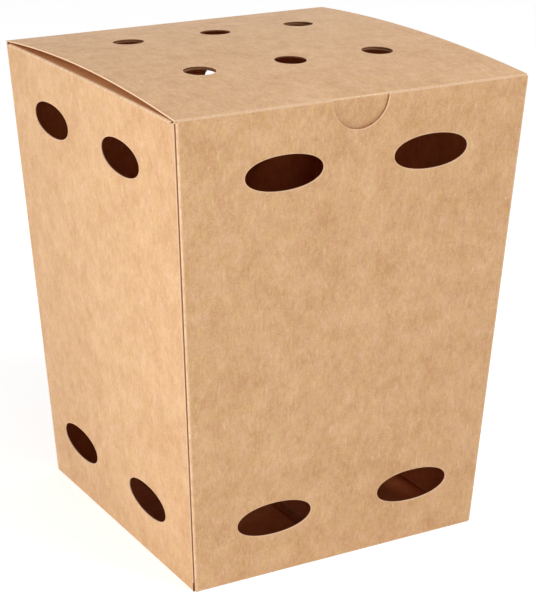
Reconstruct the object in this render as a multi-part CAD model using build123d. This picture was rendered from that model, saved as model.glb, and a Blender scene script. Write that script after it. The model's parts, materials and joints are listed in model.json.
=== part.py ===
from build123d import *
import math
import os

# A tapered fry box of folded kraft board with a hinged, tucked lid. Millimetres, +Z up.
# The origin is the centre of the footprint, the front wall faces -Y and the lid hinges at the back.

# Outside of the carton: sizes at the top folds, and how far each wall leans out over the height
top_width = 120.0
top_depth = 122.0
carton_height = 151.0
wall_lean = 8.92

# Board and folds
board = 0.45
fold_radius = 0.8
cut_overrun = 4.0

# Oval vents, two rows of two on every wall
vent_length = 26.1
vent_height = 11.1
vent_end_share = 0.63
vent_pitch = 50.3
upper_vent_drop = 19.8
lower_vent_rise = 19.3
front_vent_shift = 1.1
front_vent_skew = 0.4
left_vent_shift = -3.0

# Thumb notch in the top edge of the front wall
notch_radius = 9.6
front_edge_drop = 0.25

# Glued seam at the front left corner
seam_fold_radius = 1.1
seam_clearance = 0.3
tab_width = 14.0
tab_bevel = 5.0
tab_top_gap = 6.0

# Locking bottom: an inner pair of flaps above the two outer ones, which meet in a stepped slit
bottom_flap_gap = 3.0
bottom_flap_taper = 9.0
lock_slit = 0.4
lock_step = 8.0
lock_margin = 6.0

# Dust flaps, folded in from the side walls just under the lid
mouth_width = 36.0
flap_front_gap = 3.0
flap_back_gap = 2.0
flap_tip_gap = 7.0
flap_corner_radius = 6.0
flap_clearance = 0.15

# Lid, arched between its folds and highest along its middle
lid_side_gap = 0.3
lid_rise_left = 3.1
lid_rise_middle = 3.3
lid_rise_right = 2.5
lid_vent_radius = 5.0
lid_vent_pitch = 31.2
lid_vent_back_row = 28.6
lid_vent_front_row = -20.4
hinge_gap = 0.1

# Tuck flap along the front of the lid
tuck_length = 13.0
tuck_lean_in = 0.6
tuck_clearance = 0.2
tuck_side_gap = 3.0
tuck_shoulder = 1.0
tuck_corner_radius = 7.0

# Values that follow from the sizes above
bottom_width = top_width - 2 * wall_lean
bottom_depth = top_depth - 2 * wall_lean
slant_height = math.hypot(wall_lean, carton_height)
lean = math.atan2(wall_lean, carton_height)
wall_inset = board / math.cos(lean)
side_top = carton_height - board - flap_clearance
fold_leg = fold_radius
hinge_y = (top_depth - board) / 2
hinge_z = carton_height - board / 2
lid_width = top_width - 2 * lid_side_gap
flap_front = flap_front_gap - top_depth / 2
flap_back = top_depth / 2 - flap_back_gap
tuck_y = board + tuck_clearance - top_depth / 2
arch_front = tuck_y + 2 * fold_radius
arch_back = hinge_y + board


def half_width(z):
    return bottom_width / 2 + wall_lean * z / carton_height


def half_depth(z):
    return bottom_depth / 2 + wall_lean * z / carton_height


def wall_plane(turn, half_span):
    """Plane on the outside of a wall: origin at the middle of its top, x along it, y up it, z outward."""
    outward = Vector(0, -1, 0).rotate(Axis.Z, turn)
    along = Vector(1, 0, 0).rotate(Axis.Z, turn)
    normal = outward * math.cos(lean) - Vector(0, 0, 1) * math.sin(lean)
    origin = outward * half_span + Vector(0, 0, carton_height)
    return Plane(origin=origin, x_dir=along, z_dir=normal)


front_plane = wall_plane(0, top_depth / 2)
right_plane = wall_plane(90, top_width / 2)
back_plane = wall_plane(180, top_depth / 2)
left_plane = wall_plane(270, top_width / 2)


def leaning_prism(plane, half, low, high, inset):
    """Prism across the carton between two heights, its two sides leaning like a pair of opposite walls."""
    outline = make_face(Polyline(
        (inset - half(low), low),
        (half(low) - inset, low),
        (half(high) - inset, high),
        (inset - half(high), high),
        close=True,
    ))
    return extrude(plane * outline, top_width + top_depth, both=True)


def leaning_block(low, high, inset, corner_radius):
    """Block between two heights with sides that lean like the walls, set in by inset, and round corners."""
    block = leaning_prism(Plane.XZ, half_width, low, high, inset)
    block = block & leaning_prism(Plane.YZ, half_depth, low, high, inset)
    corners = block.edges().filter_by(lambda e: abs(e.position_at(0).Z - e.position_at(1).Z) > board)
    return fillet(corners, corner_radius)


def wall_shell():
    """The four walls and the outer layer of the bottom, one board thick, with rounded folds."""
    outside = leaning_block(0, carton_height, 0, fold_radius)
    outside = fillet(outside.faces().sort_by(Axis.Z)[0].edges(), fold_radius)
    inside = leaning_block(board, carton_height + cut_overrun, wall_inset, fold_radius - board)
    return outside - inside


def top_trim():
    """Cutters that bring each wall's top down to its own edge: front cut edge, back crease, side folds."""
    high = carton_height + cut_overrun

    def slab(low, near, far):
        outline = Pos(0, (near + far) / 2, low) * Rectangle(2 * top_width, far - near)
        return extrude(outline, high - low)

    front = slab(carton_height - front_edge_drop, -top_depth, 0)
    back = slab(carton_height - board - hinge_gap, 0, top_depth)
    sides = leaning_prism(Plane.YZ, half_depth, side_top, high, wall_inset)
    seat = side_top - fold_radius - fold_leg / 2
    folds = leaning_prism(Plane.YZ, half_depth, seat, high, wall_inset) & slab(seat, -top_depth, flap_back)
    return [front, back, sides, folds]


def vent_oval():
    """Oval of four arcs that run into each other: small ones at its ends, wide ones along its sides."""
    half = vent_height / 2
    end_radius = vent_end_share * half
    end_x = vent_length / 2 - end_radius
    side_radius = (end_x ** 2 + half ** 2 - end_radius ** 2) / (2 * (half - end_radius))
    joint = Vector(end_x, 0) + Vector(end_x, side_radius - half).normalized() * end_radius
    upper_right = (joint.X, joint.Y)
    upper_left = (-joint.X, joint.Y)
    lower_left = (-joint.X, -joint.Y)
    lower_right = (joint.X, -joint.Y)
    return make_face([
        ThreePointArc(upper_right, (0, half), upper_left),
        ThreePointArc(upper_left, (-vent_length / 2, 0), lower_left),
        ThreePointArc(lower_left, (0, -half), lower_right),
        ThreePointArc(lower_right, (vent_length / 2, 0), upper_right),
    ])


def wall_vents(plane, shift, skew=0):
    """The four oval cutters of one wall; skew sets the upper row left and the lower row right."""
    rows = [(shift - skew, -upper_vent_drop), (shift + skew, lower_vent_rise - slant_height)]
    places = [Pos(u + side * vent_pitch / 2, v) for u, v in rows for side in (-1, 1)]
    return [extrude(plane * place * vent_oval(), cut_overrun, both=True) for place in places]


def thumb_notch():
    return extrude(front_plane * Pos(front_vent_shift, 0) * Circle(notch_radius), cut_overrun, both=True)


def glue_tab():
    """Bevelled strip that continues the front wall round its left fold, glued inside the left wall."""
    low = fold_radius + board - slant_height
    high = -tab_top_gap

    def corner(v):
        return top_depth / 2 + wall_lean * v / slant_height

    outline = make_face(Polyline(
        (corner(low) - board / 2, low),
        (corner(high) - board / 2, high),
        (corner(high - tab_bevel) - tab_width, high - tab_bevel),
        (corner(low + tab_bevel) - tab_width, low + tab_bevel),
        close=True,
    ))
    return extrude(left_plane.offset(-board) * outline, -board)


def seam_cut():
    """Groove beside the front left fold: the left wall ends there in a cut edge, a board outside the fold."""
    rise = Vector(-wall_lean, -wall_lean, carton_height).normalized()
    along_front = rise.cross(front_plane.z_dir)
    along_left = left_plane.z_dir.cross(rise)
    foot = Vector(-half_width(fold_radius), -half_depth(fold_radius), fold_radius)
    turn = math.radians(along_front.get_angle(along_left))
    front_way = Vector(1, 0)
    left_way = Vector(math.cos(turn), math.sin(turn))
    corner = front_way * (board / math.sin(turn))
    middle = corner + (front_way + left_way).normalized() * (seam_fold_radius / math.sin(turn / 2))
    bend = seam_fold_radius / math.tan(turn / 2)
    start = corner + front_way * bend
    end = corner + left_way * bend
    wall_end = end + left_way * seam_clearance
    away = front_way * (2 * cut_overrun)
    fold = ThreePointArc(start, middle + (corner - middle).normalized() * seam_fold_radius, end)
    rest = Polyline(
        end,
        wall_end,
        wall_end - away,
        start - away - left_way * cut_overrun,
        start - left_way * cut_overrun,
        start,
    )
    section = Plane(origin=foot, x_dir=along_front, z_dir=rise) * make_face([fold, rest])
    return extrude(section, slant_height + cut_overrun)


def bottom_flaps():
    """The inner pair of bottom flaps, folded in from the side walls."""
    root = bottom_width / 2 - board / 2
    half = bottom_depth / 2 - board - fold_radius
    outline = make_face(Polyline(
        (root, -half),
        (bottom_flap_gap / 2, bottom_flap_taper - half),
        (bottom_flap_gap / 2, half - bottom_flap_taper),
        (root, half),
        close=True,
    ))
    flap = extrude(Pos(0, 0, board) * outline, board)
    return [flap, mirror(flap, about=Plane.YZ)]


def lock_cut():
    """Stepped slit where the two outer bottom flaps lock into each other."""
    end = bottom_width / 2 - lock_margin
    path = Polyline((-end, lock_step), (-lock_step, lock_step), (lock_step, -lock_step), (end, -lock_step))
    return extrude(trace(path, line_width=lock_slit), board)


def lid_rise(x):
    """Height of the lid's arch at x: the parabola through its left, middle and right rises."""
    s = 2 * x / lid_width
    tilt = (lid_rise_right - lid_rise_left) / 2
    bulge = (lid_rise_right + lid_rise_left) / 2 - lid_rise_middle
    return lid_rise_middle + tilt * s + bulge * s * s


def lid_arch(x, z):
    """Curve from front to back that the lid's panel follows at x, starting and ending at height z."""
    middle = ((arch_front + arch_back) / 2, z + lid_rise(x))
    return ThreePointArc((arch_front, z), middle, (arch_back, z))


def board_strip(x, top):
    """Cut across a panel at x, one board thick under the curve of its top."""
    low = Pos(0, -board) * top
    return Plane.YZ.offset(x) * make_face([top, low, Line(top @ 0, low @ 0), Line(top @ 1, low @ 1)])


def lid_vent_holes(columns):
    """Upright cutters for the round vents of the given columns."""
    rows = [lid_vent_back_row, lid_vent_front_row]
    depth = cut_overrun + lid_rise_middle
    places = [Pos(c * lid_vent_pitch, y, carton_height) for c in columns for y in rows]
    return [extrude(p * Circle(lid_vent_radius), depth, both=True) for p in places]


def flap_fold():
    """Rounded fold from the left wall into its dust flap, with a short leg that lies in the wall."""
    centre_z = side_top - fold_radius
    tangent_z = centre_z - fold_radius * math.sin(lean)
    centre_x = fold_radius * math.cos(lean) - half_width(tangent_z)
    centre = Vector(centre_x, centre_z)
    up_wall = Vector(-math.sin(lean), math.cos(lean))
    outward = Vector(-math.cos(lean), -math.sin(lean))
    halfway = Vector(-math.cos(math.pi / 4), math.sin(math.pi / 4))
    leg = up_wall * fold_leg

    def bend(radius):
        return [centre + outward * radius, centre + halfway * radius, centre + Vector(0, radius)]

    outer = bend(fold_radius)
    inner = bend(fold_radius - board)
    section = make_face([
        Line(outer[0] - leg, outer[0]),
        ThreePointArc(*outer),
        Line(outer[2], inner[2]),
        ThreePointArc(*inner),
        Line(inner[0], inner[0] - leg),
        Line(inner[0] - leg, outer[0] - leg),
    ])
    return extrude(Plane.XZ.offset(-flap_front) * section, flap_front - flap_back), centre_x


def dust_flap(side):
    """Dust flap, straight at its fold and arched at its tip; side is -1 for left and 1 for right."""
    fold, root = flap_fold()
    tip = -mouth_width / 2
    straight = Line((arch_front, side_top), (arch_back, side_top))
    arch = lid_arch(-side * tip, side_top)
    sheet = loft([board_strip(root, straight), board_strip(tip, arch)], ruled=True)
    outline = make_face(Polyline(
        (root, flap_front),
        (root, flap_back),
        (tip, flap_back - flap_tip_gap),
        (tip, flap_front + flap_tip_gap),
        close=True,
    ))
    outline = fillet(outline.vertices().group_by(Axis.X)[-1], flap_corner_radius)
    sheet = sheet & extrude(Pos(0, 0, side_top) * outline, lid_rise_middle + cut_overrun, both=True)
    flap = fold + sheet - lid_vent_holes([-1])
    return flap if side < 0 else mirror(flap, about=Plane.YZ)


def carton_body():
    body = wall_shell() - top_trim()
    body = body + glue_tab() + bottom_flaps() + dust_flap(-1) + dust_flap(1)
    body = body - seam_cut() - thumb_notch() - lock_cut()
    body = body - wall_vents(front_plane, front_vent_shift, front_vent_skew) - wall_vents(back_plane, 0)
    return body - wall_vents(left_plane, left_vent_shift) - wall_vents(right_plane, 0)


def tuck_flap():
    """Tuck flap and its fold, up to where the arched panel of the lid starts."""
    low = carton_height - tuck_length
    tip_y = tuck_y + tuck_length * wall_lean / carton_height + tuck_lean_in
    inner_y = tuck_y + board * (1 + (tip_y - tuck_y) / tuck_length)
    section = make_face(Polyline(
        (tip_y, low),
        (tuck_y, carton_height),
        (arch_front, carton_height),
        (arch_front, carton_height - board),
        (inner_y, carton_height - board),
        (tip_y + board, low),
        close=True,
    ))
    bends = (((tuck_y, carton_height), fold_radius), ((inner_y, carton_height - board), fold_radius - board))
    for corner, radius in bends:
        section = fillet(section.vertices().sort_by_distance(corner)[0], radius)
    return extrude(Plane.YZ * section, lid_width / 2, both=True)


def tuck_trim():
    """Cutter that leaves the tuck flap narrower than the lid, with round lower corners."""
    top = carton_height - tuck_shoulder
    low = carton_height - tuck_length
    around = Pos(0, (top + low) / 2) * Rectangle(top_width, top - low + 2 * cut_overrun)
    around = around - Pos(0, top + cut_overrun) * Rectangle(2 * top_width, 2 * cut_overrun)
    tongue = Rectangle(lid_width - 2 * tuck_side_gap, 2 * (top - low))
    tongue = fillet(tongue.vertices().group_by(Axis.Y)[0], tuck_corner_radius)
    outline = around - Pos(0, top) * tongue
    return extrude(Plane.XZ.offset(top_depth / 2) * outline, -tuck_length)


def hinge_trim():
    """Cutter that ends the lid in a ridge about the hinge axis, so that it turns clear of the back wall."""
    tip = hinge_y + board / 2
    reach = 2 * board
    outline = make_face(Polyline(
        (tip, hinge_z),
        (tip - reach, hinge_z - reach),
        (tip + reach, hinge_z - reach),
        (tip + reach, hinge_z + reach),
        (tip - reach, hinge_z + reach),
        close=True,
    ))
    return extrude(Plane.YZ * outline, top_width, both=True)


def lid():
    sections = [board_strip(x, lid_arch(x, carton_height)) for x in (-lid_width / 2, 0, lid_width / 2)]
    panel = loft(sections) + tuck_flap()
    return panel - tuck_trim() - hinge_trim() - lid_vent_holes([-1, 0, 1])


os.makedirs("parts", exist_ok=True)
export_step(carton_body(), "parts/carton_body.step")
export_step(lid(), "parts/lid.step")
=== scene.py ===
import json
import math

import bmesh
import bpy
import numpy as np
from mathutils import Matrix, Vector, kdtree
from mathutils.geometry import delaunay_2d_cdt


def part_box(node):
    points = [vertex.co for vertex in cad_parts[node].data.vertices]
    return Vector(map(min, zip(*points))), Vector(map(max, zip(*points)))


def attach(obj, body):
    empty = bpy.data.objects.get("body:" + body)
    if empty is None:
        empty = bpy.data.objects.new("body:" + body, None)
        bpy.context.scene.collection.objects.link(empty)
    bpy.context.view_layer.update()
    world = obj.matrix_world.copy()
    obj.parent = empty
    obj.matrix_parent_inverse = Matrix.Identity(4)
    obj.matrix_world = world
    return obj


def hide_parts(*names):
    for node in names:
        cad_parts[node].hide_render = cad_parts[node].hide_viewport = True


# Looks of a fry box folded from kraft board: every panel, fold and cut edge of the sheet is modelled.
# Sizes are millimetres until a piece is made. +Z is up, the front wall faces -Y, the lid hinges at the back.

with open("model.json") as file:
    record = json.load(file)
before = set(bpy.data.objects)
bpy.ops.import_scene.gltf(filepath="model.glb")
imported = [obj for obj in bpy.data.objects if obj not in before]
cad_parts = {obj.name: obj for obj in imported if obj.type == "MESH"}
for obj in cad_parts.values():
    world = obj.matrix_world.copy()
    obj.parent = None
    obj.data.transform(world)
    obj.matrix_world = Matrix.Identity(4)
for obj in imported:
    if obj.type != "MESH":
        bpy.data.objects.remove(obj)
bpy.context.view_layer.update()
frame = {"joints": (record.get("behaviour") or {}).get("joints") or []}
scene = bpy.context.scene

MM = 0.001
UP = Vector((0, 0, 1))
DOWN = Vector((0, 0, -1))

# Board, folds and clearances
board = 0.45
fold_radius = 0.8
wall_lean = 8.92
lid_side_gap = 0.3
flap_clearance = 0.15
front_edge_drop = 0.25
hinge_gap = 0.05

# Sizes read from the frame
hinge_y = frame["joints"][0]["pos_m"][1] / MM
hinge_z = frame["joints"][0]["pos_m"][2] / MM
lid_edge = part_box("lid")[1].x / MM
top_width = 2 * (lid_edge + lid_side_gap)
top_depth = 2 * hinge_y + board
carton_height = hinge_z + board / 2
lean = math.atan2(wall_lean, carton_height)
slant_height = math.hypot(wall_lean, carton_height)
side_top = carton_height - board - flap_clearance

# Vents, notch and lid holes
vent_length = 26.1
vent_height = 10.95
vent_fullness = 2.1
vent_pitch = 50.3
upper_vent_drop = 19.8
lower_vent_rise = 19.3
front_vent_shift = 1.1
front_vent_skew = 0.4
left_vent_shift = -3.0
notch_radius = 9.6
notch_shift = 0.4
notch_drop = 0.4
lid_vent_radius = 5.0
lid_vent_pitch = 31.2
lid_vent_rows = (28.6, -20.4)

# Glued seam, corner folds and bottom
corner_low = 0.4
corner_high = 150.3
seam_low = 0.05
seam_fold_radius = 0.6
seam_gap = 1.02
tab_width = 14.0
tab_bevel = 11.0
tab_depth = 0.05
layer_gap = 0.02
bottom_corner_gap = 1.0
foot_radius = 0.55
foot_ramp = 4.0
bottom_flap_gap = 3.0
bottom_flap_taper = 9.0
left_flap_spring = 0.3
right_flap_spring = 1.8
lock_slit = 0.4
lock_step = 8.0

# Dust flaps under the lid
flap_front = -58.0
flap_back = 59.0
flap_tip = -18.0
flap_tip_gap = 7.0
flap_corner_radius = 6.0
flap_spring = 1.2
fold_lift = 0.5
lift_depth = 30.0

# Lid and tuck flap
lid_rise_left = 3.1
lid_rise_middle = 3.3
lid_rise_right = 2.5
lid_fold_radius = 0.45
tuck_length = 13.0
tuck_lean_in = 0.6
tuck_clearance = 0.25
tuck_side_gap = 3.0
tuck_shoulder = 1.0
tuck_corner_radius = 7.0

# How far cut edges bulge, and values of fold_mm, the distance from the ridge of a fold: where a fold meets
# its panels, and along the middle of the seam's fold, which gets less of the paler wear and painted highlight
# than the others
cut_bulge = 0.04
ridge_half = 0.45
seam_ridge = 0.25

# How finely the sheet is meshed
grid_step = 3.0
grid_clear_share = 0.75
edge_ring = 0.6
ring_clear_share = 0.8
rim_step = edge_ring / 2
fold_steps = 6
cut_steps = 6
corner_steps = 10
round_steps = 72
vent_steps = 96
weld = 0.004
point_weld = 0.0004
patch_spacing = 2 * top_depth

# Tuck flap: the outside of its top, its slope and its normal
tuck_y = board + tuck_clearance - top_depth / 2
tuck_slope = wall_lean / carton_height + tuck_lean_in / tuck_length
tuck_normal = Vector((0, -1, -tuck_slope)).normalized()


def half_width(z):
    """Half of the outside width at a height."""
    return top_width / 2 - wall_lean * (1 - z / carton_height)


def half_depth(z):
    """Half of the outside depth at a height."""
    return top_depth / 2 - wall_lean * (1 - z / carton_height)


class Face:
    """A flat outside face of the sheet: the point (u, v) on it is origin + u * along + v * up."""

    def __init__(self, origin, along, up):
        self.origin = Vector(origin)
        self.along = Vector(along)
        self.up = Vector(up)
        self.normal = self.along.cross(self.up)

    def point(self, u, v):
        return self.origin + self.along * u + self.up * v

    def plan(self, p):
        return (p - self.origin).dot(self.along), (p - self.origin).dot(self.up)

    def place(self, u, v):
        return self.point(u, v), self.normal

    def inward(self, depth):
        return Face(self.origin - self.normal * depth, self.along, self.up)


def wall_face(turn, half_span):
    """Outside of a wall: the origin is the middle of its top, u runs along it and v up its slant."""
    spin = Matrix.Rotation(math.radians(turn), 3, "Z")
    outward = spin @ Vector((0, -1, 0))
    along = spin @ Vector((1, 0, 0))
    up = outward * math.sin(lean) + UP * math.cos(lean)
    return Face(outward * half_span + UP * carton_height, along, up)


front = wall_face(0, top_depth / 2)
right = wall_face(90, top_width / 2)
back = wall_face(180, top_depth / 2)
left = wall_face(270, top_width / 2)


def spread(low, high, step):
    """Evenly spaced values from low to high, about a step apart."""
    return np.linspace(low, high, max(2, round(abs(high - low) / step) + 1))


def arc(u, v, radius, start, end, steps):
    """Points round an arc, without its last one."""
    turns = np.linspace(start, end, steps, endpoint=False)
    return [(u + radius * math.cos(t), v + radius * math.sin(t)) for t in turns]


def lid_vent(column, v):
    """Outline of a round lid vent; column is -1, 0 or 1."""
    return arc(column * lid_vent_pitch, v, lid_vent_radius, 0, 2 * math.pi, round_steps)


def oval(u, v):
    """Outline of an oval vent: a superellipse, a little fuller than an ellipse."""
    power = 2 / vent_fullness
    turns = np.linspace(0, 2 * math.pi, vent_steps, endpoint=False)
    across = vent_length / 2 * np.sign(np.cos(turns)) * np.abs(np.cos(turns)) ** power
    upward = vent_height / 2 * np.sign(np.sin(turns)) * np.abs(np.sin(turns)) ** power
    return [(u + du, v + dv) for du, dv in zip(across, upward)]


def wall_vents(shift, skew=0):
    """Outlines of the four oval vents of a wall; skew sets the upper row left and the lower row right."""
    rows = ((shift - skew, -upper_vent_drop), (shift + skew, lower_vent_rise - slant_height))
    return [oval(u + side * vent_pitch / 2, v) for u, v in rows for side in (-1, 1)]


def rounded(points, radii):
    """Outline through the points, each corner rounded by its own radius."""
    outline = []
    for i, radius in enumerate(radii):
        here = Vector(points[i])
        before = (Vector(points[i - 1]) - here).normalized()
        after = (Vector(points[(i + 1) % len(points)]) - here).normalized()
        if radius == 0:
            outline.append(here)
            continue
        half_angle = before.angle(after) / 2
        middle = here + (before + after).normalized() * (radius / math.sin(half_angle))
        start = here + before * (radius / math.tan(half_angle)) - middle
        end = here + after * (radius / math.tan(half_angle)) - middle
        for k in range(corner_steps + 1):
            outline.append(middle + start.slerp(end, k / corner_steps).normalized() * radius)
    return [tuple(p) for p in outline]


def inner_path(points):
    """Points strictly between the ends of an open path, at most about a grid step apart."""
    dense = []
    for (au, av), (bu, bv) in zip(points, points[1:]):
        count = max(1, round(math.dist((au, av), (bu, bv)) / grid_step))
        dense += [(au + (bu - au) * k / count, av + (bv - av) * k / count) for k in range(count)]
    return dense[1:]


def crossings(points, loops):
    """True for each point that lies inside an odd number of the loops."""
    within = np.zeros(len(points), bool)
    for loop in loops:
        a = np.array(loop)
        b = np.roll(a, -1, axis=0)
        for (au, av), (bu, bv) in zip(a, b):
            spans = (points[:, 1] < av) != (points[:, 1] < bv)
            if av != bv:
                u = au + (points[:, 1] - av) * (bu - au) / (bv - av)
                within ^= spans & (points[:, 0] < u)
    return within


def beside(loop, distance):
    """Points at a distance to the left of a closed loop."""
    points = np.array(loop)
    run = np.roll(points, -1, axis=0) - np.roll(points, 1, axis=0)
    run /= np.linalg.norm(run, axis=1)[:, None]
    return points + distance * np.stack([-run[:, 1], run[:, 0]], axis=1)


def is_painted_shade(p):
    """True where the cut edge gets painted shade, a dark brown that stands in for shade: round a lid vent or
    the hole under it, and in the bottom.
    """
    reach = lid_vent_radius + edge_ring
    centres = [(column * lid_vent_pitch, y) for column in (-1, 0, 1) for y in lid_vent_rows]
    return p.z < foot_ramp or any(math.dist((p.x, p.y), centre) < reach for centre in centres)


def triangles(outline, holes):
    """Points and triangles over an outline with holes: a ring beside each edge, and a grid over the rest."""
    loops = [outline] + [h[::-1] for h in holes]
    edge = np.concatenate([np.array(loop) for loop in loops])
    tree = kdtree.KDTree(len(edge))
    for i, (u, v) in enumerate(edge):
        tree.insert((u, v, 0), i)
    tree.balance()
    low, high = edge.min(0), edge.max(0)
    us, vs = np.meshgrid(spread(low[0], high[0], grid_step), spread(low[1], high[1], grid_step))
    grid = np.stack([us.ravel(), vs.ravel()], axis=1)
    ring = np.concatenate([beside(loop, edge_ring) for loop in loops])
    kept = []
    for points, clear in ((ring, ring_clear_share * edge_ring), (grid, grid_clear_share * grid_step)):
        inner = points[crossings(points, loops)]
        kept += [p for p in inner if tree.find((p[0], p[1], 0))[2] > clear]
    links = []
    first = 0
    for loop in loops:
        count = len(loop)
        links += [(first + i, first + (i + 1) % count) for i in range(count)]
        first += count
    corners = [Vector(p) for p in edge] + [Vector(p) for p in kept]
    inside_constraints = 1
    made = delaunay_2d_cdt(corners, links, [], inside_constraints, point_weld)
    points = np.array([tuple(p) for p in made[0]])
    centres = np.array([points[list(f)].mean(0) for f in made[2]])
    in_hole = crossings(centres, holes)
    return points, [f for f, gone in zip(made[2], in_hole) if not gone]


def segment_distance(point, a, b):
    """Distance from a point to the segment from a to b."""
    run = b - a
    share = np.clip(((point - a) @ run) / (run @ run), 0, 1)
    return np.linalg.norm(point - a - share * run)


# Materials of a piece, in this order; the last is painted shade, a dark brown that stands in for shade
OUTSIDE, INSIDE, CUT, PAINTED_SHADE = range(4)


class Sheet:
    """The outside of the board, put together from panels and folds and then given its thickness."""

    def __init__(self):
        self.mesh = bmesh.new()
        self.grain = self.mesh.loops.layers.uv.new("grain")
        self.outward = self.mesh.verts.layers.float_vector.new("outward")
        self.fold = self.mesh.verts.layers.float.new("fold_mm")
        self.cut = self.mesh.verts.layers.float.new("cut_mm")
        self.depth = self.mesh.verts.layers.float.new("depth_share")
        self.patches = 0

    def add(self, points, normals, folds, grains, faces, finish=OUTSIDE):
        """Adds a patch, turned so that its faces look along its normals."""
        self.patches += 1
        shift = Vector((self.patches * patch_spacing, 0))
        made = []
        for p, n, f in zip(points, normals, folds):
            vert = self.mesh.verts.new(p)
            vert[self.outward] = n
            vert[self.fold] = f
            made.append(vert)
        a, b, c = (Vector(points[i]) for i in faces[0][:3])
        turned = (b - a).cross(c - a).dot(normals[faces[0][0]]) < 0
        for corners in faces:
            corners = corners[::-1] if turned else corners
            face = self.mesh.faces.new([made[i] for i in corners])
            face.material_index = finish
            for loop, i in zip(face.loops, corners):
                loop[self.grain].uv = Vector(grains[i]) + shift

    def panel(self, place, outline, holes=(), folds=(), across=False, finish=OUTSIDE):
        """A panel: outline and holes are drawn in its plan, and place gives the point and normal there."""
        points, faces = triangles(outline, list(holes))
        lines = [(np.array(a), np.array(b)) for a, b in folds]
        away = []
        for p in points:
            nearest = min([segment_distance(p, a, b) for a, b in lines], default=top_depth)
            away.append(nearest + ridge_half)
        placed = [place(u, v) for u, v in points]
        grains = [(v, u) if across else (u, v) for u, v in points]
        self.add([p for p, n in placed], [n for p, n in placed], away, grains, faces, finish)

    def bend(self, rows, plan, ridge=0.0):
        """A fold: rows of (points, normals) from one panel to the next; ridge is fold_mm at its middle."""
        count = len(rows[0][0])
        last = len(rows) - 1
        across = [abs(2 * j / last - 1) for j in range(last + 1)]
        folds = [ridge + share * (ridge_half - ridge) for share in across for _ in range(count)]
        points = [p for row in rows for p in row[0]]
        normals = [n for row in rows for n in row[1]]
        faces = []
        for j in range(last):
            for i in range(count - 1):
                k = j * count + i
                faces.append((k, k + 1, k + 1 + count, k + count))
        self.add(points, normals, folds, [plan(p) for p in points], faces)

    def join(self):
        """Welds the patches, gives each point its distance from the cut edges, and returns those edges."""
        bmesh.ops.remove_doubles(self.mesh, verts=self.mesh.verts, dist=weld)
        rim = [e for e in self.mesh.edges if e.is_boundary]
        samples = []
        for e in rim:
            a, b = (v.co for v in e.verts)
            count = max(1, round((b - a).length / rim_step))
            samples += [a.lerp(b, k / count) for k in range(count)]
        tree = kdtree.KDTree(len(samples))
        for i, p in enumerate(samples):
            tree.insert(p, i)
        tree.balance()
        for v in self.mesh.verts:
            v[self.cut] = tree.find(v.co)[2]
        return rim

    def thicken(self, round_edge):
        """Adds the inside and the cut edges. Where round_edge is true for a point, the edge is half round."""
        rim = self.join()
        outer = list(self.mesh.faces)
        aside = {}
        for e in rim:
            loop = e.link_loops[0]
            a, b = loop.vert, loop.link_loop_next.vert
            for v in (a, b):
                way = (b.co - a.co).cross(v[self.outward]).normalized()
                aside[v] = aside.get(v, Vector()) + way
        inner = {}
        for v in list(self.mesh.verts):
            twin = self.mesh.verts.new(v.co - v[self.outward] * board)
            twin[self.outward] = -v[self.outward]
            twin[self.fold] = v[self.fold]
            twin[self.cut] = v[self.cut]
            twin[self.depth] = 1
            inner[v] = twin
        steps = {v: self.edge_steps(v, inner[v], aside[v].normalized(), round_edge(v.co)) for v in aside}
        for face in outer:
            back_face = self.mesh.faces.new([inner[v] for v in reversed(face.verts)])
            back_face.material_index = INSIDE
            for loop, source in zip(back_face.loops, reversed(face.loops)):
                loop[self.grain].uv = source[self.grain].uv
        for e in rim:
            loop = e.link_loops[0]
            a, b = loop.vert, loop.link_loop_next.vert
            is_round = round_edge(a.co) and round_edge(b.co)
            for k in range(len(steps[a]) - 1):
                strip = (steps[b][k], steps[a][k], steps[a][k + 1], steps[b][k + 1])
                face = self.mesh.faces.new(strip)
                # Cut edges round the lid vents and in the bottom get painted shade, a dark brown standing in
                # for their shade
                in_painted_shade = is_painted_shade(a.co) and is_painted_shade(b.co)
                face.material_index = OUTSIDE if is_round else PAINTED_SHADE if in_painted_shade else CUT
                for corner, source in zip(face.loops, (b, a, a, b)):
                    corner[self.grain].uv = source.link_loops[0][self.grain].uv
                if not is_round and k in (0, len(steps[a]) - 2):
                    end = 0 if k == 0 else k + 1
                    sharp = self.mesh.edges.get((steps[a][end], steps[b][end]))
                    sharp.smooth = False

    def edge_steps(self, vert, twin, way, is_round):
        """The points across the cut edge at one point of the rim."""
        made = [vert]
        for k in range(1, cut_steps):
            share = k / cut_steps
            bulge = cut_bulge * math.sqrt(math.sin(math.pi * share))
            if is_round:
                bulge = board / 2 * math.sin(math.pi * share)
                share = (1 - math.cos(math.pi * share)) / 2
            step = self.mesh.verts.new(vert.co.lerp(twin.co, share) + way * bulge)
            step[self.outward] = way
            step[self.fold] = 0 if is_round else top_depth
            step[self.cut] = 0
            step[self.depth] = share
            made.append(step)
        return made + [twin]

    def piece(self, name, materials, settle=None):
        """The finished piece, settled where the real board has moved, and scaled to metres."""
        for face in self.mesh.faces:
            face.smooth = True
        if settle:
            for vert in self.mesh.verts:
                vert.co += settle(vert.co)
        self.mesh.transform(Matrix.Scale(MM, 4))
        data = bpy.data.meshes.new(name)
        self.mesh.to_mesh(data)
        self.mesh.free()
        for material in materials:
            data.materials.append(material)
        made = bpy.data.objects.new(name, data)
        scene.collection.objects.link(made)
        return made


def fold_rows(edge, first, second, radius):
    """Rows of points round a fold; edge is the sharp line where two faces with these normals would meet."""
    middle = (first + second) * (radius / (1 + first.dot(second)))
    rows = []
    for k in range(fold_steps + 1):
        normal = first.slerp(second, k / fold_steps)
        rows.append(([p - middle + normal * radius for p in edge], [normal] * len(edge)))
    return rows


def on_face(face, row):
    """A row of a fold, in the plan of a face."""
    return [face.plan(p) for p in row[0]]


def ends(points):
    """First and last point of a line."""
    return points[0], points[-1]


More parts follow.
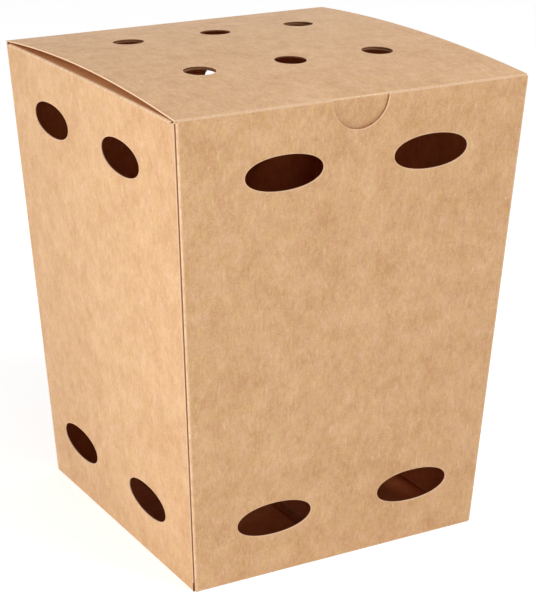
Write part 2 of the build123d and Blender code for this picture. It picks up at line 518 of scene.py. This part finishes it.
def corner_fold(side_x, side_y, first, second):
    """Fold between two walls; the sides are -1 or 1."""
    heights = spread(corner_low, corner_high, grid_step)
    edge = [Vector((side_x * half_width(z), side_y * half_depth(z), z)) for z in heights]
    return fold_rows(edge, first.normal, second.normal, fold_radius)


def bottom_fold(face, half):
    """Fold from the foot of a wall into its bottom flap."""
    reach = half(0) - bottom_corner_gap
    v = -carton_height / math.cos(lean)
    edge = [face.point(u, v) for u in spread(-reach, reach, grid_step)]
    return fold_rows(edge, face.normal, DOWN, foot_radius)


def top_fold(face, flip):
    """Fold from the top of a side wall into its dust flap."""
    v = (side_top - carton_height) / math.cos(lean)
    low, high = sorted((flip * flap_front, flip * flap_back))
    edge = [face.point(u, v) for u in spread(low, high, grid_step)]
    return fold_rows(edge, face.normal, UP, fold_radius)


def lid_rise(x):
    """Height of the lid's arch at x: the parabola through its left, middle and right rises."""
    s = x / lid_edge
    tilt = (lid_rise_right - lid_rise_left) / 2
    bulge = (lid_rise_right + lid_rise_left) / 2 - lid_rise_middle
    return lid_rise_middle + tilt * s + bulge * s * s


def on_height(height, x, y):
    """Point and normal of the surface whose height is a function of x and y."""
    slope_x = (height(x + edge_ring, y) - height(x - edge_ring, y)) / (2 * edge_ring)
    slope_y = (height(x, y + edge_ring) - height(x, y - edge_ring)) / (2 * edge_ring)
    return Vector((x, y, height(x, y))), Vector((-slope_x, -slope_y, 1)).normalized()


def dust_flap(sheet, side, root_row):
    """Panel of a dust flap, flat at its fold and arched at its tip. side is -1 for the left one."""
    root = abs(root_row[0].x)
    tip = abs(flap_tip)
    rise = lid_rise(side * tip)
    end_rise = rise * (1 - (2 * flap_back / top_depth) ** 2)

    def height(x, y):
        share = (root - side * x) / (root - tip)
        spring = share * (1 + flap_spring - flap_spring * share)
        arch = rise - (rise - end_rise) * (y / flap_back) ** 2
        return side_top + spring * arch

    tips = [(side * tip, flap_front + flap_tip_gap), (side * tip, flap_back - flap_tip_gap)]
    roots = [(p.x, p.y) for p in sorted(root_row, key=lambda p: -p.y)]
    free = rounded([roots[-1]] + tips + [roots[0]], [0, flap_corner_radius, flap_corner_radius, 0])
    outline = roots + inner_path(free)
    if side > 0:
        outline = outline[::-1]
    holes = [lid_vent(side, y) for y in lid_vent_rows]
    sheet.panel(lambda x, y: on_height(height, x, y), outline, holes, [ends(roots)], across=True)


def ease(value):
    """Smooth step from 0 to 1, held at both ends."""
    value = min(max(value, 0), 1)
    return value * value * (3 - 2 * value)


def settle_carton(p):
    """The left wall's top fold stands a little higher between its corners."""
    along = max(0, 1 - (p.y / flap_back) ** 2)
    high = ease((p.z - side_top) / lift_depth + 1)
    outer = ease((flap_tip - p.x) / (flap_tip + top_width / 2))
    return UP * (fold_lift * along * high * outer)


def front_wall(sheet, foot, right_side, left_side):
    """Front wall, with the thumb notch in its free top edge."""
    top = -front_edge_drop / math.cos(lean)
    reach = math.sqrt(notch_radius ** 2 - (top + notch_drop) ** 2)
    end = half_width(carton_height - front_edge_drop) - fold_radius
    start_angle = math.atan2(top + notch_drop, reach)
    turns = np.linspace(start_angle, -math.pi - start_angle, round_steps // 2)
    notch = [(notch_shift + notch_radius * math.cos(t), notch_radius * math.sin(t) - notch_drop)
             for t in turns]
    right_top = [(u, top) for u in spread(end, notch_shift + reach, grid_step)][:-1]
    left_top = [(u, top) for u in spread(notch_shift - reach, -end, grid_step)][1:]
    outline = foot + right_side + right_top + notch + left_top + left_side[::-1]
    folds = [ends(foot), ends(right_side), ends(left_side)]
    sheet.panel(front.place, outline, wall_vents(front_vent_shift, front_vent_skew), folds)


def right_wall(sheet, foot, head, front_side, back_side):
    """Right wall, between two corner folds."""
    outline = foot + back_side + head[::-1] + front_side[::-1]
    folds = [ends(s) for s in (foot, head, front_side, back_side)]
    sheet.panel(right.place, outline, wall_vents(0), folds)


def left_wall(sheet, foot, head, back_side):
    """Left wall, whose cut front edge lies on the glue tab."""
    heights = spread(seam_low, corner_high, grid_step)
    cut = [(half_depth(z) - seam_gap, (z - carton_height) / math.cos(lean)) for z in heights]
    outline = foot + cut + head[::-1] + back_side[::-1]
    folds = [ends(s) for s in (foot, head, back_side)]
    sheet.panel(left.place, outline, wall_vents(left_vent_shift), folds)


def back_wall(sheet, foot, high_side, low_side):
    """Back wall, up to the hinge crease."""
    z = carton_height - board - hinge_gap
    top = (z - carton_height) / math.cos(lean)
    end = half_width(z) - fold_radius
    head = [(u, top) for u in spread(end, -end, grid_step)]
    outline = foot + high_side + head + low_side[::-1]
    folds = [ends(s) for s in (foot, high_side, low_side, head)]
    sheet.panel(back.place, outline, wall_vents(0), folds)


def bottom_flaps(sheet, front_row, back_row, left_row, right_row):
    """Two outer flaps that lock along a stepped slit, and the inner pair, which lies on them."""
    under = Face((0, 0, 0), (1, 0, 0), (0, -1, 0))
    ramp_start = half_width(0) - foot_radius
    edge = ramp_start - foot_ramp - lock_slit

    def raised(u, v):
        lift = (board + layer_gap) * ease((ramp_start - abs(u)) / foot_ramp)
        spring = right_flap_spring if u > 0 else left_flap_spring
        return under.point(u, v) + UP * (lift + spring * (1 - abs(u) / ramp_start) ** 2), DOWN

    for row, way in ((front_row, -1), (back_row, 1)):
        root = sorted([under.plan(p) for p in row])
        gap = way * lock_slit / 2
        steps = [(-edge, lock_step), (-lock_step, lock_step), (lock_step, -lock_step), (edge, -lock_step)]
        mitre = root[0][1] - way * (edge + root[0][0])
        free = [(-edge, mitre)] + [(u, -y - gap) for u, y in steps] + [(edge, mitre)]
        outline = inner_path([root[0]] + free + [root[-1]]) + root[::-1]
        sheet.panel(under.place, outline if way > 0 else outline[::-1], (), [ends(root)])
    for row, way in ((left_row, -1), (right_row, 1)):
        root = sorted([under.plan(p) for p in row], key=lambda p: p[1])
        tip = way * bottom_flap_gap / 2
        mitre = root[-1][1] - (ramp_start - edge)
        taper = root[-1][1] - bottom_flap_taper
        free = [root[-1], (way * edge, mitre), (tip, taper), (tip, -taper), (way * edge, -mitre), root[0]]
        outline = root + inner_path(free)
        sheet.panel(raised, outline if way > 0 else outline[::-1], (), [ends(root)], across=True)


def glue_seam(sheet):
    """Rows of the fold at the front left corner, and the tab that is glued behind the left wall, in painted
    shade.
    """
    tab_face = left.inward(board + tab_depth)
    inset = (board + tab_depth) / math.cos(lean)
    heights = spread(seam_low, corner_high, grid_step)
    edge = [Vector((inset - half_width(z), -half_depth(z), z)) for z in heights]
    rows = fold_rows(edge, front.normal, tab_face.normal, seam_fold_radius)
    sheet.bend(rows, front.plan, seam_ridge)
    side = on_face(tab_face, rows[-1])
    (foot_u, foot_v), (head_u, head_v) = ends(side)
    bevels = [(head_u - tab_width, head_v - tab_bevel), (foot_u - tab_width, foot_v + tab_bevel)]
    outline = side + inner_path([side[-1]] + bevels + [side[0]])
    # The tab's outside is painted shade, so that its strip in the seam gap shows as a dark line
    sheet.panel(tab_face.place, outline, (), [ends(side)], finish=PAINTED_SHADE)
    return rows


def carton(materials):
    """The folded body: walls, corner folds, glue tab, bottom and dust flaps."""
    sheet = Sheet()
    front_right = corner_fold(1, -1, front, right)
    back_right = corner_fold(1, 1, right, back)
    back_left = corner_fold(-1, 1, back, left)
    for rows, face in ((front_right, front), (back_right, right), (back_left, back)):
        sheet.bend(rows, face.plan)
    seam = glue_seam(sheet)
    front_foot = bottom_fold(front, half_width)
    back_foot = bottom_fold(back, half_width)
    left_foot = bottom_fold(left, half_depth)
    right_foot = bottom_fold(right, half_depth)
    for rows, face in ((front_foot, front), (back_foot, back), (left_foot, left), (right_foot, right)):
        sheet.bend(rows, face.plan)
    left_head = top_fold(left, -1)
    right_head = top_fold(right, 1)
    for rows, face in ((left_head, left), (right_head, right)):
        sheet.bend(rows, face.plan)

    front_wall(sheet, *[on_face(front, row) for row in (front_foot[0], front_right[0], seam[0])])
    back_wall(sheet, *[on_face(back, row) for row in (back_foot[0], back_left[0], back_right[-1])])
    right_rows = (right_foot[0], right_head[0], front_right[-1], back_right[0])
    right_wall(sheet, *[on_face(right, row) for row in right_rows])
    left_wall(sheet, *[on_face(left, row) for row in (left_foot[0], left_head[0], back_left[-1])])
    bottom_flaps(sheet, *[rows[-1][0] for rows in (front_foot, back_foot, left_foot, right_foot)])
    dust_flap(sheet, -1, left_head[-1][0])
    dust_flap(sheet, 1, right_head[-1][0])
    sheet.thicken(lambda p: False)
    return sheet.piece("carton_sheet", materials, settle_carton)


def lid_arc(x):
    """Centre (y, z) and outside radius of the lid's arch at x."""
    corner_y = tuck_y + board / 2
    half_chord = (hinge_y - corner_y) / 2
    rise = lid_rise(x)
    radius = (half_chord ** 2 + rise ** 2) / (2 * rise)
    return Vector(((hinge_y + corner_y) / 2, hinge_z + rise - radius)), radius + board / 2


def lid_height(x, y):
    """Height of the outside of the lid."""
    centre, radius = lid_arc(x)
    return centre.y + math.sqrt(radius ** 2 - (y - centre.x) ** 2)


def lid_place(x, y):
    """Point and normal on the outside of the lid."""
    return on_height(lid_height, x, y)


def tuck_place(x, z):
    """Point and normal on the outside of the tuck flap."""
    return Vector((x, tuck_y + (carton_height - z) * tuck_slope, z)), tuck_normal


def lid_front_fold(columns):
    """Rows round the fold between the arched lid and its tuck flap."""
    rows = [([], []) for _ in range(fold_steps + 1)]
    flap_normal = Vector((tuck_normal.y, tuck_normal.z))
    flap_up = Vector((tuck_normal.z, -tuck_normal.y))
    start = Vector((tuck_y, carton_height)) - flap_normal * lid_fold_radius
    for x in columns:
        centre, radius = lid_arc(x)
        offset = start - centre
        along = offset.dot(flap_up)
        reach = math.sqrt(along ** 2 - offset.length_squared + (radius - lid_fold_radius) ** 2)
        middle = start + flap_up * (reach - along)
        lid_normal = (middle - centre).normalized()
        for k, (points, normals) in enumerate(rows):
            normal = lid_normal.slerp(flap_normal, k / fold_steps)
            at = middle + normal * lid_fold_radius
            points.append(Vector((x, at.x, at.y)))
            normals.append(Vector((0, normal.x, normal.y)))
    return rows


def lid(materials):
    """The lid panel with its round vents, its front fold and the tuck flap."""
    sheet = Sheet()
    columns = spread(-lid_edge, lid_edge, grid_step)
    fold = lid_front_fold(columns)
    sheet.bend(fold, lambda p: (p.x, p.y))
    front_side = [(p.x, p.y) for p in fold[0][0]]
    back_side = []
    for x in columns:
        centre, radius = lid_arc(x)
        back_side.append((x, centre.x + (Vector((hinge_y, hinge_z)) - centre).normalized().x * radius))
    right_side = inner_path([front_side[-1], back_side[-1]])
    left_side = inner_path([back_side[0], front_side[0]])
    outline = front_side + right_side + back_side[::-1] + left_side
    holes = [lid_vent(column, y) for column in (-1, 0, 1) for y in lid_vent_rows]
    sheet.panel(lid_place, outline, holes, [ends(front_side), ends(back_side)])

    head = [(p.x, p.z) for p in fold[-1][0]]
    shoulder = carton_height - tuck_shoulder
    tip = carton_height - tuck_length
    inner = lid_edge - tuck_side_gap
    free = rounded(
        [head[0], (-lid_edge, shoulder), (-inner, shoulder), (-inner, tip), (inner, tip), (inner, shoulder),
         (lid_edge, shoulder), head[-1]],
        [0, 0, 0, tuck_corner_radius, tuck_corner_radius, 0, 0, 0],
    )
    outline = inner_path(free) + head[::-1]
    sheet.panel(tuck_place, outline, (), [ends(head)])
    sheet.thicken(lambda p: p.y > hinge_y - board / 2)
    return sheet.piece("lid_sheet", materials)


# Colours of the board, linear
outside_dark = (0.565, 0.300, 0.128)
outside_light = (0.745, 0.465, 0.245)
# The worn colours are also the painted highlight along folds
outside_worn_and_highlight = (0.88, 0.64, 0.42)
# The inside colours are partly the board's own colour and partly painted shade: deepened and reddened for an
# inside that is seen in shade
inside_dark = (0.47, 0.115, 0.030)
inside_light = (0.61, 0.178, 0.054)
inside_worn_and_highlight = (0.66, 0.36, 0.18)
lid_inside_dark = (0.72, 0.30, 0.085)
lid_inside_light = (0.86, 0.40, 0.13)
edge_dark = (0.84, 0.54, 0.34)
edge_light = (0.96, 0.72, 0.51)
edge_core = (0.46, 0.22, 0.10)
# Painted shade: dark browns that stand in for the shade on cut edges under the lid and in the bottom, and on
# the glue tab in the seam
painted_shade_dark = (0.22, 0.09, 0.038)
painted_shade_light = (0.34, 0.155, 0.075)

# Roughness and gloss
outside_rough = 0.55
outside_gloss = 0.5
inside_rough = 0.8
inside_gloss = 0.2
edge_rough = 0.8
edge_gloss = 0.0

# Noises of the board: width and length of their spots, in millimetres across and along the grain, and detail
board_noises = {
    "fibre": (0.8, 2.0, 2),
    "strand": (1.7, 3.6, 2),
    "cloud": (5.0, 6.5, 3),
    "blotch": (13.0, 16.0, 2),
    "drift": (45.0, 60.0, 2),
    "grit": (0.5, 0.6, 2),
}
tone_weights = {"fibre": 1.1, "strand": 0.8, "cloud": 1.2, "blotch": 0.9, "drift": 0.4, "grit": 1.3}
relief_weights = {"fibre": 1.0, "grit": 0.7, "cloud": 1.5}
relief_strength = 0.25
relief_depth = 0.03
noise_roughness = 0.55

# Faint yellow and pink patches
hue_noise = (3.5, 4.5, 3)
hue_range = (0.3, 0.7)
yellow_tint = (0.985, 1.01, 0.93)
pink_tint = (1.015, 0.99, 1.07)

# Pale flecks and dark specks
fleck_noise = (1.3, 4.5, 2)
fleck_range = (0.64, 0.74)
fleck_strength = 0.35
speck_scale = 0.16
speck_range = (0.02, 0.045)
speck_strength = 0.45
speck_shade = 0.3

# Wear and painted highlight: the board is paler by its folds, partly from crease wear and partly as a painted
# highlight, in patches along them, and by its cuts, over these millimetres
fold_wear_and_highlight_range = (0.05, 0.7)
fold_wear_and_highlight = 0.75
patch_noise = (0.8, 2.0, 3)
patch_range = (0.25, 0.65)
least_patch = 0.3
cut_wear_range = (0.05, 0.35)
cut_wear = 0.4

# Cut edges: pulp noises with their weights, and the shares of the depth where the core starts and is full
pulp_noises = (((0.5, 0.5, 3), 1.4), ((6.0, 6.0, 2), 0.8))
core_shares = (0.45, 0.95)


def add_node(tree, kind, inputs, **settings):
    """A new node with its settings; each input takes a value, or a link where a socket is given."""
    made = tree.nodes.new(kind)
    for name, value in settings.items():
        setattr(made, name, value)
    for name, value in inputs.items():
        if isinstance(value, bpy.types.NodeSocket):
            tree.links.new(value, made.inputs[name])
        else:
            made.inputs[name].default_value = value
    return made


def maths(tree, operation, a, b=0.0, c=0.0):
    return add_node(tree, "ShaderNodeMath", {0: a, 1: b, 2: c}, operation=operation).outputs[0]


def ramp(tree, value, low, high, to_low=0.0, to_high=1.0):
    """The value taken smoothly from one range to another, and held at its ends."""
    inputs = {"Value": value, "From Min": low, "From Max": high, "To Min": to_low, "To Max": to_high}
    return add_node(tree, "ShaderNodeMapRange", inputs, interpolation_type="SMOOTHSTEP").outputs["Result"]


def blend_colour(tree, share, a, b, way="MIX"):
    """Colour b laid over colour a by a share; each colour is a socket or three numbers."""
    made = add_node(tree, "ShaderNodeMix", {"Factor": share}, data_type="RGBA", blend_type=way)
    for name, colour in (("A", a), ("B", b)):
        socket = [s for s in made.inputs if s.name == name and s.type == "RGBA"][0]
        if isinstance(colour, bpy.types.NodeSocket):
            tree.links.new(colour, socket)
        else:
            socket.default_value = (*colour, 1)
    return [s for s in made.outputs if s.type == "RGBA"][0]


def noise(tree, grain, width, length, detail):
    """Noise whose spots are this wide and long, in millimetres, across and along the grain."""
    inputs = {0: grain, 1: (1 / width, 1 / length, 1)}
    stretched = add_node(tree, "ShaderNodeVectorMath", inputs, operation="MULTIPLY").outputs["Vector"]
    inputs = {"Vector": stretched, "Scale": 1.0, "Detail": detail, "Roughness": noise_roughness}
    return add_node(tree, "ShaderNodeTexNoise", inputs).outputs["Fac"]


def weighted(tree, parts):
    """Sum of weighted noises about their middle, one half, which is the middle of the sum too."""
    middle = 0.5
    total = middle
    for value, weight in parts:
        centred = maths(tree, "SUBTRACT", value, middle)
        total = maths(tree, "MULTIPLY_ADD", centred, weight, total)
    return total


def attribute(tree, name):
    return add_node(tree, "ShaderNodeAttribute", {}, attribute_name=name).outputs["Fac"]


def board_material(name, rough, gloss):
    """A new material, with its nodes, its shader and the place on the sheet that its grain follows."""
    material = bpy.data.materials.new(name)
    material.use_nodes = True
    tree = material.node_tree
    shader = tree.nodes["Principled BSDF"]
    shader.inputs["Roughness"].default_value = rough
    shader.inputs["Specular IOR Level"].default_value = gloss
    grain = add_node(tree, "ShaderNodeUVMap", {}, uv_map="grain").outputs["UV"]
    return material, tree, shader, grain


def kraft(name, dark, light, worn_and_highlight, rough, gloss):
    """Face of the board: fibres, clouds, pale flecks and dark specks, folds paler from wear and a painted
    highlight, and paler cuts.
    """
    material, tree, shader, grain = board_material(name, rough, gloss)
    noises = {key: noise(tree, grain, *spots) for key, spots in board_noises.items()}
    tone = weighted(tree, [(noises[key], weight) for key, weight in tone_weights.items()])
    colour = blend_colour(tree, tone, dark, light)
    hue = ramp(tree, noise(tree, grain, *hue_noise), *hue_range)
    tint = blend_colour(tree, hue, yellow_tint, pink_tint)
    colour = blend_colour(tree, 1.0, colour, tint, "MULTIPLY")

    fleck = ramp(tree, noise(tree, grain, *fleck_noise), *fleck_range, 0.0, fleck_strength)
    colour = blend_colour(tree, fleck, colour, worn_and_highlight)
    cells = add_node(tree, "ShaderNodeTexVoronoi", {"Vector": grain, "Scale": speck_scale, "Randomness": 1.0})
    speck = ramp(tree, cells.outputs["Distance"], *speck_range, speck_strength, 0.0)
    colour = blend_colour(tree, speck, colour, [speck_shade * c for c in dark])

    # Folds are paler from crease wear and a painted highlight; cuts are paler from wear
    fold = ramp(tree, attribute(tree, "fold_mm"), *fold_wear_and_highlight_range, fold_wear_and_highlight, 0.0)
    patch = ramp(tree, noise(tree, grain, *patch_noise), *patch_range, least_patch, 1.0)
    cut = ramp(tree, attribute(tree, "cut_mm"), *cut_wear_range, cut_wear, 0.0)
    wear_and_highlight = maths(tree, "MAXIMUM", maths(tree, "MULTIPLY", fold, patch), cut)
    colour = blend_colour(tree, wear_and_highlight, colour, worn_and_highlight)
    tree.links.new(colour, shader.inputs["Base Color"])

    relief = weighted(tree, [(noises[key], weight) for key, weight in relief_weights.items()])
    inputs = {"Strength": relief_strength, "Distance": relief_depth * MM, "Height": relief}
    bump = add_node(tree, "ShaderNodeBump", inputs)
    tree.links.new(bump.outputs["Normal"], shader.inputs["Normal"])
    return material


def cut_board(name, dark, light, core):
    """Cut edge of the board: pulp by the outside of the sheet, and its core by the inside."""
    material, tree, shader, grain = board_material(name, edge_rough, edge_gloss)
    pulp = weighted(tree, [(noise(tree, grain, *spots), weight) for spots, weight in pulp_noises])
    colour = blend_colour(tree, pulp, dark, light)
    depth = ramp(tree, attribute(tree, "depth_share"), *core_shares)
    colour = blend_colour(tree, depth, colour, core)
    tree.links.new(colour, shader.inputs["Base Color"])
    return material


outside = kraft("kraft_outside", outside_dark, outside_light, outside_worn_and_highlight, outside_rough, outside_gloss)
inside = kraft("kraft_inside", inside_dark, inside_light, inside_worn_and_highlight, inside_rough, inside_gloss)
lid_inside = kraft(
    "kraft_lid_inside", lid_inside_dark, lid_inside_light, outside_worn_and_highlight, inside_rough, inside_gloss)
cut_edge = cut_board("cut_edge", edge_dark, edge_light, edge_core)
# Painted shade: a dark brown cut-edge material that stands in for shade on rims and the glue tab
painted_shade_edge = cut_board("painted_shade_edge", painted_shade_dark, painted_shade_light, painted_shade_dark)

carton_piece = carton([outside, inside, cut_edge, painted_shade_edge])
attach(carton_piece, "carton")
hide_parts("carton_body")

lid_piece = lid([outside, lid_inside, cut_edge, painted_shade_edge])
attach(lid_piece, "lid_panel")
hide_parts("lid")


# Camera of the photograph: metres, radians and pixels, and the sensor in millimetres
camera_place = (-0.28929, -0.51966, 0.28067)
camera_azimuth = -0.51355
camera_elevation = 0.34041
camera_roll = 0.00210
camera_near = 0.05
camera_far = 20
focal_pixels = 1925.59
picture_height = 600
sensor = 36.0

# Lamps: metres and watts
lamp_aim = (-0.04, -0.04, 0.08)
key_place = (-0.428, -0.125, 0.119)
key_size = 0.25
key_power = 0.97
top_place = (0.279, -0.49, 0.729)
top_size = 0.4
top_power = 3.03

# White studio: the floor's half width is in metres
WHITE = (1, 1, 1, 1)
world_light = 0.552
world_white = 1
floor_half = 3.0
floor_colour = (0.8, 0.8, 0.8, 1)
floor_glow = 0.5


def photo_camera():
    data = bpy.data.cameras.new("photo_camera")
    data.sensor_width = sensor
    data.lens = focal_pixels * sensor / picture_height
    data.clip_start = camera_near
    data.clip_end = camera_far
    made = bpy.data.objects.new("photo_camera", data)
    scene.collection.objects.link(made)
    turn = Matrix.Rotation(camera_azimuth, 4, "Z")
    tilt = Matrix.Rotation(math.pi / 2 - camera_elevation, 4, "X")
    roll = Matrix.Rotation(camera_roll, 4, "Z")
    made.location = camera_place
    made.rotation_euler = (turn @ tilt @ roll).to_euler()
    scene.camera = made


def lamp(name, place, size, power):
    """A round soft lamp that looks at the box."""
    data = bpy.data.lights.new(name, "AREA")
    data.shape = "DISK"
    data.size = size
    data.energy = power
    made = bpy.data.objects.new(name, data)
    scene.collection.objects.link(made)
    made.location = place
    made.rotation_euler = (Vector(lamp_aim) - Vector(place)).to_track_quat("-Z", "Y").to_euler()


def background_ray(tree):
    """Factor that is 1 where the white background shows: to the camera, in gloss and through clear things."""
    path = add_node(tree, "ShaderNodeLightPath", {})
    shown = maths(tree, "MAXIMUM", path.outputs["Is Camera Ray"], path.outputs["Is Glossy Ray"])
    return maths(tree, "MAXIMUM", shown, path.outputs["Is Transmission Ray"])


def white_world():
    """Even light from all round, which shows as plain white."""
    world = bpy.data.worlds.new("white_studio")
    world.use_nodes = True
    scene.world = world
    tree = world.node_tree
    tree.nodes.clear()
    light = add_node(tree, "ShaderNodeBackground", {"Color": WHITE, "Strength": world_light}).outputs[0]
    shown = add_node(tree, "ShaderNodeBackground", {"Color": WHITE, "Strength": world_white}).outputs[0]
    mix = add_node(tree, "ShaderNodeMixShader", {0: background_ray(tree), 1: light, 2: shown})
    add_node(tree, "ShaderNodeOutputWorld", {"Surface": mix.outputs[0]})


def white_floor():
    """Pale floor that keeps the shadow of the box and shows as white around it."""
    corners = [(-floor_half, -floor_half, 0), (floor_half, -floor_half, 0),
               (floor_half, floor_half, 0), (-floor_half, floor_half, 0)]
    data = bpy.data.meshes.new("floor")
    data.from_pydata(corners, [], [(0, 1, 2, 3)])
    made = bpy.data.objects.new("floor", data)
    scene.collection.objects.link(made)
    material = bpy.data.materials.new("white_floor")
    material.use_nodes = True
    tree = material.node_tree
    tree.nodes.clear()
    paper = add_node(tree, "ShaderNodeBsdfDiffuse", {"Color": floor_colour}).outputs[0]
    glow = add_node(tree, "ShaderNodeEmission", {"Color": WHITE, "Strength": floor_glow}).outputs[0]
    both = add_node(tree, "ShaderNodeAddShader", {0: paper, 1: glow}).outputs[0]
    mix = add_node(tree, "ShaderNodeMixShader", {0: background_ray(tree), 1: paper, 2: both})
    add_node(tree, "ShaderNodeOutputMaterial", {"Surface": mix.outputs[0]})
    data.materials.append(material)


photo_camera()
lamp("key", key_place, key_size, key_power)
lamp("top", top_place, top_size, top_power)
white_world()
white_floor()
scene.view_settings.view_transform = "Standard"
